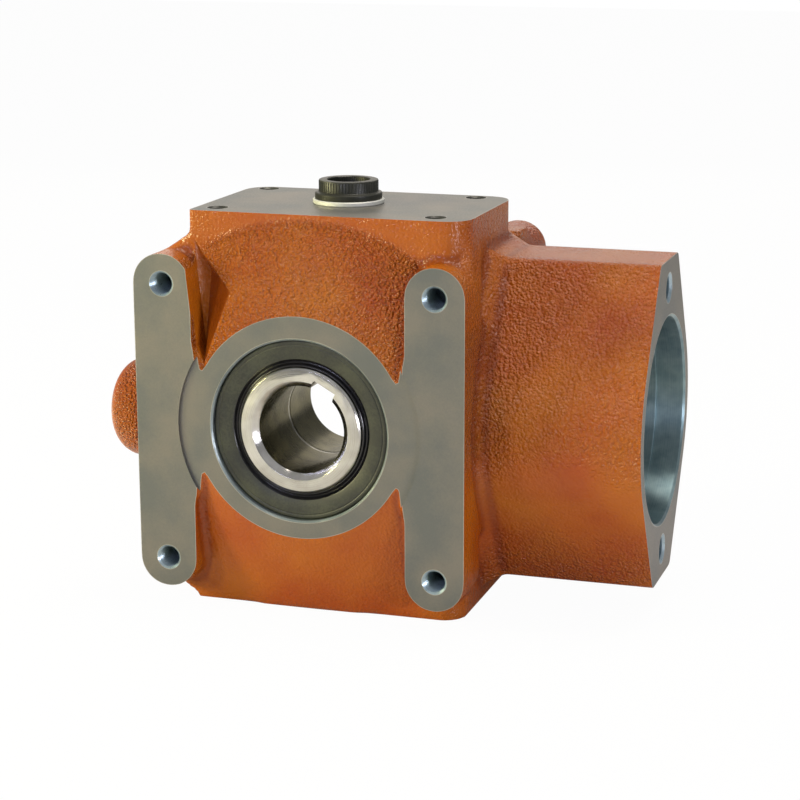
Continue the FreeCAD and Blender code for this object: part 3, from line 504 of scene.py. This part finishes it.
# Bores along the input axis, from the cavity outwards: clearance, the two bearing bores, the ring's
# groove, and the chamfered pilot bore that centres the motor
pinion_bore = 29.0
inner_bearing_bore = 34.0
outer_bearing_bore = 40.0
neck_groove = 41.2
pilot_bore = 41.275
machine(housing, turned("input bores", "X", [
    (0, 20), (pinion_bore, 20), (pinion_bore, 47), (inner_bearing_bore, 47), (inner_bearing_bore, 72),
    (outer_bearing_bore, 72), (outer_bearing_bore, 90), (neck_groove, 90), (neck_groove, 92.5),
    (outer_bearing_bore, 92.5), (outer_bearing_bore, 120.3), (pilot_bore, 120.3), (pilot_bore, 131.4),
    (42.175, flange_plane), (60, 150.1), (0, 150.1)], sides=160), neck_iron)


def thread_cutter(core, mouth, depth, pitch):
    """Tap for a hole that opens towards +Z: countersunk mouth, thread and the drill's cone."""
    crest = core + 0.5 * pitch
    start = core - mouth
    profile = [(0, 3), (mouth + 3, 3), (core, start)]
    for turn in range(int((depth - 3 * pitch) / pitch)):
        top = start - 0.2 - turn * pitch
        profile += [(core, top), (crest, top - pitch / 2), (core, top - 0.98 * pitch)]
    profile += [(core, -depth), (0, -depth - 0.6 * core)]
    return turned("tap", "Z", profile, sides=40)


def tap_holes(tap, turn, places, material=painted_glint_threads):
    """Cut the same tapped hole at each place."""
    for place in places:
        choose(tap)
        bpy.ops.object.duplicate()
        cutter = bpy.context.object
        cutter.rotation_euler = turn
        cutter.location = Vector(place) * mm
        machine(housing, settle("tapped hole"), material)
    bpy.data.objects.remove(tap)


# Tapped holes: M10 in the front pads, M8 in the rear pads, M12 in the flange and M8 in the block
corners = [(side, tip) for side in (-1, 1) for tip in (-1, 1)]
flange_hole_z = 53.2
block_hole_x = 44.7
block_hole_y = 28.0
tap_holes(thread_cutter(core=4.25, mouth=5.0, depth=20.0, pitch=1.5), (math.pi / 2, 0, 0),
          [(side * pad_x, -pad_plane, tip * pad_z) for side, tip in corners])
tap_holes(thread_cutter(core=3.4, mouth=4.2, depth=20.0, pitch=1.25), (-math.pi / 2, 0, 0),
          [(side * pad_x, pad_plane, tip * pad_z) for side, tip in corners])
tap_holes(thread_cutter(core=5.1, mouth=6.1, depth=22.0, pitch=1.75), (0, math.pi / 2, 0),
          [(flange_plane, 0, tip * flange_hole_z) for tip in (-1, 1)])
tap_holes(thread_cutter(core=3.4, mouth=4.2, depth=11.0, pitch=1.25), (0, 0, 0),
          [(block_middle[0] + side * block_hole_x, block_middle[1] + tip * block_hole_y, block_top)
           for side, tip in corners], painted_shade_threads)

# Plain holes for the filler plug and the side plug
plug_bore = 10.5
side_plug_bore = 8.0
side_plug_seat = -72.49
machine(housing, bar("plug hole", "Z", plug_bore, 60, 90, (*block_middle, 0)), bored_iron)
machine(housing, bar("side plug hole", "X", side_plug_bore, -95, side_plug_seat, (0, side_boss_y, 0)),
        bored_iron)


def select_material(piece, material):
    """In edit mode, select the faces that have a material."""
    bpy.ops.mesh.select_mode(type="FACE")
    bpy.ops.mesh.select_all(action="DESELECT")
    piece.active_material_index = piece.data.materials.find(material.name)
    bpy.ops.object.material_slot_select()


# The milled faces get a thin lighter band along their edges: a painted highlight for the glint of the
# fine burr that the cutter leaves
edge_line = 0.22
housing.data.materials.append(edge_highlight_iron)
choose(housing)
bpy.ops.object.mode_set(mode="EDIT")
select_material(housing, milled_iron)
bpy.ops.mesh.quads_convert_to_tris(quad_method="BEAUTY", ngon_method="BEAUTY")
bpy.ops.mesh.inset(thickness=edge_line * mm, use_select_inset=True)
housing.active_material_index = housing.data.materials.find(edge_highlight_iron.name)
bpy.ops.object.material_slot_assign()
# Tools leave sharp edges, so shading stays sharp where one surface ends and the next begins
for material in (milled_iron, edge_highlight_iron, bored_iron, neck_iron, painted_glint_threads, painted_shade_threads, smooth_enamel,
                 enamel):
    select_material(housing, material)
    bpy.ops.mesh.region_to_loop()
    bpy.ops.mesh.mark_sharp()
bpy.ops.object.mode_set(mode="OBJECT")
bpy.ops.object.shade_smooth_by_angle(angle=math.radians(32), keep_sharp_edges=True)
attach(housing, "casing")
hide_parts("housing")


# Output shaft: hollow, turned and ground from steel, with a keyway through its bore. The lathe
# leaves fine rings on its end and bore, which spread each highlight into a star.
def finished(node, body, materials, edge):
    """Copy of a CAD node with its sharp edges broken, as a deburring tool leaves them."""
    piece = bpy.data.objects.new(node + "_finished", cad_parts[node].data.copy())
    bpy.context.collection.objects.link(piece)
    choose(piece)
    bpy.ops.object.mode_set(mode="EDIT")
    bpy.ops.mesh.select_all(action="SELECT")
    bpy.ops.mesh.remove_doubles(threshold=1e-6)
    bpy.ops.mesh.dissolve_limited(angle_limit=math.radians(0.5))
    bpy.ops.object.mode_set(mode="OBJECT")
    apply_modifier(piece, "BEVEL", width=edge * mm, segments=2, limit_method="ANGLE",
                   angle_limit=math.radians(28))
    piece.data.materials.clear()
    for material in materials:
        piece.data.materials.append(material)
    choose(piece)
    bpy.ops.object.shade_smooth_by_angle(angle=math.radians(28))
    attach(piece, body)
    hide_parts(node)
    return piece


# Ground steel is nearly white and mirrors the room in streaks round the axis
shaft_steel = turned_steel("turned and ground shaft steel", "#D0CECB", "#AEABA6", 0.17, "Y")
shaft = finished("output_shaft", "output", [shaft_steel], 0.18)

# The bore is honed, and is coloured darker and browner than the turned end: painted shade for the
# dark inside of the hollow shaft and its dark reflections. The tool that honed it from the rear
# stopped part of the way in and left a thin bright ring.
shaded_bore = turned_steel("honed bore with a film of oil", "#6A6444", "#524E36", 0.26, "Y", 0.7)
hone_mark = (-25.0, -24.6)
bore_edge = 17.8
bore_start = -57.5
shaft.data.materials.append(shaded_bore)
bpy.ops.object.mode_set(mode="EDIT")
for ring_place in hone_mark:
    bpy.ops.mesh.select_all(action="SELECT")
    bpy.ops.mesh.bisect(plane_co=(0, ring_place * mm, 0), plane_no=(0, 1, 0))
bpy.ops.object.mode_set(mode="OBJECT")
for face in shaft.data.polygons:
    place = face.center / mm
    in_bore = math.hypot(place.x, place.z) < bore_edge and place.y > bore_start
    if in_bore and not hone_mark[0] < place.y < hone_mark[1]:
        face.material_index = 1


# Front seal: a nitrile rubber covered cup with a moulded outer face and a glossy dust lip that
# bears on the shaft. It is pressed into the front bore and stands a little behind the ring.
def rubber(name, light, dark, roughness):
    """Moulded rubber with dusty specks."""
    material, tree, output, place = start_material(name)
    specks = add_node(tree, "ShaderNodeTexNoise", Vector=place, Scale=1.1, Detail=4.0, Roughness=0.7)
    cloud = add_node(tree, "ShaderNodeTexNoise", Vector=place, Scale=0.08, Detail=2.0)
    both = add_node(tree, "ShaderNodeMath", {"operation": "MULTIPLY"}, in0=specks.outputs[0],
                    in1=cloud.outputs[0])
    amount = add_node(tree, "ShaderNodeMapRange", Value=both.outputs[0], From_Min=0.17, From_Max=0.36)
    colour = add_node(tree, "ShaderNodeMix", {"data_type": "RGBA"}, in0=amount.outputs[0], in6=linear(dark),
                      in7=linear(light))
    bump = add_node(tree, "ShaderNodeBump", Height=specks.outputs[0], Strength=0.4, Distance=0.00005)
    shader = add_node(tree, "ShaderNodeBsdfPrincipled", Base_Color=colour.outputs[2], Roughness=roughness,
                      IOR=1.52, Normal=bump.outputs[0])
    tree.links.new(shader.outputs[0], output.inputs[0])
    return material


# The moulded face is matt, olive black and a little dusty. The lip is glossy with grease.
olive_rubber = rubber("matt nitrile rubber", "#37392A", "#1E201A", 0.46)
black_rubber = rubber("glossy nitrile lip", "#131216", "#08080C", 0.2)
lip_edge = 28.1
# From the outer wall over the moulded rim and face to the lip, and back inside the cup
seal = turned("front_seal_moulding", "Y", [
    (35.99, -51), (35.99, -58.2), (35.5, -58.8), (35.0, -59), (34.3, -59), (34.1, -58.85), (33.8, -58.85),
    (33.6, -59), (28.6, -58.1), (28.2, -57.9), (27.9, -57.6), (27.5, -57.0), (27.0, -56.6), (26.5, -56.9),
    (26.1, -57.8), (25.7, -58.2), (25.3, -58.1), (25.05, -57.8), (25.4, -57.3), (25.05, -55.5),
    (25.5, -54.0), (26.2, -51.7), (27.4, -51.7), (27.4, -55.4), (33.8, -55.4), (33.8, -51)], sides=160)
apply_modifier(seal, "BEVEL", width=0.12 * mm, segments=2, limit_method="ANGLE",
               angle_limit=math.radians(20))
seal.data.materials.append(olive_rubber)
seal.data.materials.append(black_rubber)
for face in seal.data.polygons:
    place = face.center / mm
    if math.hypot(place.x, place.z) < lip_edge:
        face.material_index = 1
choose(seal)
bpy.ops.object.shade_smooth_by_angle(angle=math.radians(30))
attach(seal, "casing")
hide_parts("front_seal")


# Filler plug and washer: a black oxided steel plug with a knurled head and a wide recess on top,
# screwed into the block on a pale aluminium sealing washer.
# Oxided and oiled steel is brownish black, with a soft uneven sheen
black_steel, tree, output, place = start_material("black oxided steel")
oil = add_node(tree, "ShaderNodeTexNoise", Vector=place, Scale=0.35, Detail=3.0)
wear = add_node(tree, "ShaderNodeTexNoise", Vector=place, Scale=2.2, Detail=3.0)
colour = add_node(tree, "ShaderNodeMix", {"data_type": "RGBA"}, in0=oil.outputs[0], in6=linear("#1A1C18"),
                  in7=linear("#3A3A30"))
shine = add_node(tree, "ShaderNodeMapRange", Value=wear.outputs[0], To_Min=0.32, To_Max=0.5)
bump = add_node(tree, "ShaderNodeBump", Height=wear.outputs[0], Strength=0.4, Distance=0.00004)
shader = add_node(tree, "ShaderNodeBsdfPrincipled", Base_Color=colour.outputs[2], Metallic=0.2,
                  Roughness=shine.outputs[0], Normal=bump.outputs[0])
tree.links.new(shader.outputs[0], output.inputs[0])

# Every second facet round the head is pressed in, which gives the coarse knurl
knurl_low = 88.0
knurl_high = 91.5
facets = 120
plug = turned("filler_plug_knurled", "Z", [
    (0, 72.8), (9.9, 72.8), (10.49, 73.4), (10.49, 84.8), (13.3, 84.8), (13.4, 85.0), (13.4, 87.0),
    (13.1, 87.4), (12.6, 87.6), (12.1, 87.6), (11.9, 87.8), (11.9, 91.9), (11.7, 92.3), (11.4, 92.4),
    (8.8, 92.4), (8.5, 92.1), (8.3, 88.6), (8.0, 88.4), (4.2, 88.4), (3.9, 88.2), (3.9, 87.2), (0, 87.2)],
    (*block_middle, 0), sides=facets)
bpy.ops.object.mode_set(mode="EDIT")
bpy.ops.mesh.select_mode(type="FACE")
bpy.ops.mesh.select_all(action="DESELECT")
bpy.ops.object.mode_set(mode="OBJECT")
for face in plug.data.polygons:
    place = face.center / mm
    angle = math.degrees(math.atan2(place.y - block_middle[1], place.x - block_middle[0]))
    facet = round(angle / (360 / facets) - 0.5)
    face.select = abs(face.normal.z) < 0.1 and knurl_low < place.z < knurl_high and facet % 2 == 0
bpy.ops.object.mode_set(mode="EDIT")
bpy.ops.mesh.inset(thickness=0.08 * mm, depth=-0.18 * mm, use_individual=True)
bpy.ops.object.mode_set(mode="OBJECT")
plug.data.materials.append(black_steel)
bpy.ops.object.shade_smooth_by_angle(angle=math.radians(30))
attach(plug, "casing")
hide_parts("filler_plug")

# Rolled aluminium is pale and dull, and shows as a light ring under the plug
washer = turned("plug_washer_pressed", "Z", [
    (10.6, 83), (13.9, 83), (14.2, 83.3), (14.2, 84.5), (13.9, 84.8), (10.6, 84.8)], (*block_middle, 0))
washer_aluminium = machined_iron("dull rolled aluminium", "#DADAD2", "#C4C6C0", 0.25, 0.5, 0.00002)
washer.data.materials.append(washer_aluminium)
choose(washer)
bpy.ops.object.shade_smooth_by_angle(angle=math.radians(30))
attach(washer, "casing")
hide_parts("plug_washer")


# Side plug: the oil level plug, a steel grub screw with a hexagon socket, screwed flush into its
# boss. It should be black oxided, but cutting the socket leaves it an empty first material slot, so
# it still shows the plain pale surface of a piece with no material.
key_radius = 4.6
key_depth = -78.5
side_plug = turned("side_plug_socketed", "X", [
    (0, -72.5), (7.4, -72.5), (7.99, -73.1), (7.99, -83.8), (7.3, side_boss_end), (0, side_boss_end)],
    (0, side_boss_y, 0))
machine(side_plug, bar("hexagon key", "X", key_radius, -95, key_depth, (0, side_boss_y, 0), sides=6))
side_plug.data.materials.append(black_steel)
apply_modifier(side_plug, "BEVEL", width=0.15 * mm, segments=2, limit_method="ANGLE",
               angle_limit=math.radians(28))
choose(side_plug)
bpy.ops.object.shade_smooth_by_angle(angle=math.radians(30))
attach(side_plug, "casing")
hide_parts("side_plug")


# Rear cover with its seal, retaining rings and shaft ring: a dished cover turned from grey iron,
# held in the rear bore by a phosphated spring ring.
# The turned cover is warm grey and fairly dull, the phosphated rings are nearly black
cover_iron = turned_steel("turned grey iron cover", "#9A958B", "#6F6A61", 0.38, "Y", 0.3)
spring_steel = turned_steel("phosphated spring steel", "#4C4C4E", "#2C2C30", 0.36, "Y", 0.0)
finished("rear_cover", "casing", [cover_iron], 0.2)
finished("rear_cover_ring", "casing", [spring_steel], 0.2)
finished("rear_seal", "casing", [olive_rubber], 0.15)
finished("rear_shaft_ring", "output", [spring_steel], 0.12)


# Pinion shaft, seal and ring in the neck: the pinion is cut in one piece with its hollow shaft,
# which the motor's shaft and key drive. The seal lies in front of its outer bearing.
# Case hardened steel is darker and browner than ground steel
pinion_steel = turned_steel("case hardened pinion steel", "#8B8881", "#5F5C56", 0.26, "X")
neck_spring_steel = turned_steel("phosphated neck ring steel", "#4C4C4E", "#2C2C30", 0.36, "X", 0.0)
finished("pinion_shaft", "pinion", [pinion_steel], 0.12)
finished("input_seal", "casing", [olive_rubber], 0.15)
finished("neck_ring", "casing", [neck_spring_steel], 0.2)


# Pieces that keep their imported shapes: gears, keys, spacers, bearings and small rings inside the
# housing. Each group is turned, ground, lapped or pressed, and gets its own steel.
def dress(material, names):
    """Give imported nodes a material."""
    for name in names:
        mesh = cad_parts[name].data
        mesh.materials.clear()
        mesh.materials.append(material)


# The gear is brown grey from hardening, the key and the spacers plain grey, the washer yellow bronze
dress(turned_steel("case hardened gear steel", "#85827A", "#56534D", 0.28, "Y"), ["crown_gear"])
dress(turned_steel("ground key steel", "#A9A59C", "#85817A", 0.26, "Y"),
      ["crown_gear_key", "crown_gear_spacer"])
dress(turned_steel("turned bronze", "#B08A4E", "#8A6636", 0.30, "Y"), ["thrust_washer"])
dress(spring_steel, ["front_shaft_ring"])
dress(neck_spring_steel, ["pinion_shaft_ring"])
dress(turned_steel("turned spacer steel", "#A9A59C", "#85817A", 0.28, "X"), ["pinion_spacer"])
dress(olive_rubber, ["rear_cover_seal"])
# Bearing rings and balls are the brightest steel inside, and the pressed cages are duller and yellower
output_race = turned_steel("ground bearing ring steel", "#C4C4C2", "#9C9C9A", 0.14, "Y")
pinion_race = turned_steel("ground neck bearing steel", "#C4C4C2", "#9C9C9A", 0.14, "X")
lapped_ball = turned_steel("lapped ball steel", "#D2D2D2", "#B4B4B4", 0.08, "Z", 0.0)
pressed_cage = turned_steel("pressed cage steel", "#B0A68C", "#8A8069", 0.30, "Z", 0.0)
dress(output_race, [name + ring for name in ("front_bearing", "rear_bearing")
                    for ring in ("_inner_ring", "_outer_ring")])
dress(pinion_race, [name + ring for name in ("inner_pinion_bearing", "outer_pinion_bearing")
                    for ring in ("_inner_ring", "_outer_ring")])
bearings = ("front_bearing", "rear_bearing", "inner_pinion_bearing", "outer_pinion_bearing")
dress(lapped_ball, [name + "_balls" for name in bearings])
dress(pressed_cage, [name + "_cage" for name in bearings])


# Floor, backdrop, lamps and camera: white paper that shows as white and keeps the gearbox's shadow,
# in a room that is darker below than above. The camera stands where the photo's outlines put it.
bpy.ops.object.select_all(action="DESELECT")
bpy.ops.mesh.primitive_plane_add(size=8, location=(0, 0, body_bottom * mm))
floor = bpy.context.object
floor.name = "floor"
# Matt white paper: the camera sees it glow, and the gearbox sees it plain
paper, tree, output, place = start_material("white paper floor")
matte = add_node(tree, "ShaderNodeBsdfDiffuse", Color=linear("#DCDCDC"))
glow = add_node(tree, "ShaderNodeEmission", Color=linear("#FFFFFF"), Strength=1.0)
paths = add_node(tree, "ShaderNodeLightPath")
seen = add_node(tree, "ShaderNodeMath", {"operation": "MULTIPLY"}, in0=paths.outputs["Is Camera Ray"],
                in1=0.97)
mixed = add_node(tree, "ShaderNodeMixShader", in0=seen.outputs[0], in1=matte.outputs[0],
                 in2=glow.outputs[0])
tree.links.new(mixed.outputs[0], output.inputs[0])
floor.data.materials.append(paper)

world = bpy.context.scene.world or bpy.data.worlds.new("studio")
bpy.context.scene.world = world
world.use_nodes = True
tree = world.node_tree
tree.nodes.clear()
paths = add_node(tree, "ShaderNodeLightPath")
direction = add_node(tree, "ShaderNodeTexCoord").outputs["Generated"]
height = add_node(tree, "ShaderNodeSeparateXYZ", in0=direction).outputs[2]
room = add_node(tree, "ShaderNodeMapRange", {"interpolation_type": "SMOOTHSTEP"}, Value=height,
                From_Min=-0.1, From_Max=0.7, To_Min=0.17, To_Max=0.46)
fill = add_node(tree, "ShaderNodeBackground", Color=linear("#FFFFFF"), Strength=room.outputs[0])
white = add_node(tree, "ShaderNodeBackground", Color=linear("#FFFFFF"), Strength=1.0)
show = add_node(tree, "ShaderNodeMixShader", in0=paths.outputs["Is Camera Ray"], in1=fill.outputs[0],
                in2=white.outputs[0])
add_node(tree, "ShaderNodeOutputWorld", in0=show.outputs[0])


def softbox(name, place, aim, width, height, power, colour):
    """Rectangular lamp that points at a place on the object."""
    lamp = bpy.data.lights.new(name, "AREA")
    lamp.shape = "RECTANGLE"
    lamp.size = width
    lamp.size_y = height
    lamp.energy = power
    lamp.color = linear(colour)[:3]
    holder = bpy.data.objects.new(name, lamp)
    bpy.context.collection.objects.link(holder)
    holder.location = place
    holder.rotation_euler = (Vector(aim) - Vector(place)).to_track_quat("-Z", "Y").to_euler()


# A warm key and a small warm sparkle from the left make the cone golden, a cool strip in front glints
# on the grains, and a low fill from the right lights the flange and the bores
softbox("left key", (-1.05, -0.52, 0.35), (0, 0, 0), 0.22, 0.22, 13.0, "#FFF8BE")
softbox("left sparkle", (-0.68, -0.8, 0.22), (0, 0, 0), 0.1, 0.1, 2.4, "#FFF8B8")
softbox("front strip", (-0.06, -1.05, 0.42), (0, 0, 0), 0.3, 0.07, 2.2, "#D4D8FF")
softbox("right fill", (1.0, -0.55, 0.02), (0.05, 0, 0), 0.28, 0.28, 5.0, "#F2F2FF")
softbox("top softbox", (0.15, 0.1, 1.0), (0, 0, 0), 0.5, 0.5, 7.4, "#FFF6EA")
softbox("rear softbox", (-0.35, 1.1, 0.45), (0, 0, 0), 0.8, 0.8, 1.9, "#FFF6EA")

camera = bpy.data.cameras.new("camera")
camera.lens = 99.02
camera.sensor_width = 36.0
camera.shift_x = -0.0247
camera.shift_y = 0.0303
camera.clip_start = 0.05
camera.clip_end = 20.0
view = bpy.data.objects.new("camera", camera)
bpy.context.collection.objects.link(view)
right = Vector((0.95476, 0.29737, 0.0))
up = Vector((-0.07199, 0.23114, 0.97025))
turn = Matrix((right, up, right.cross(up))).transposed().to_4x4()
view.matrix_world = Matrix.Translation(Vector((0.2909, -0.83635, 0.2094))) @ turn
bpy.context.scene.camera = view

bpy.context.scene.view_settings.view_transform = "Standard"
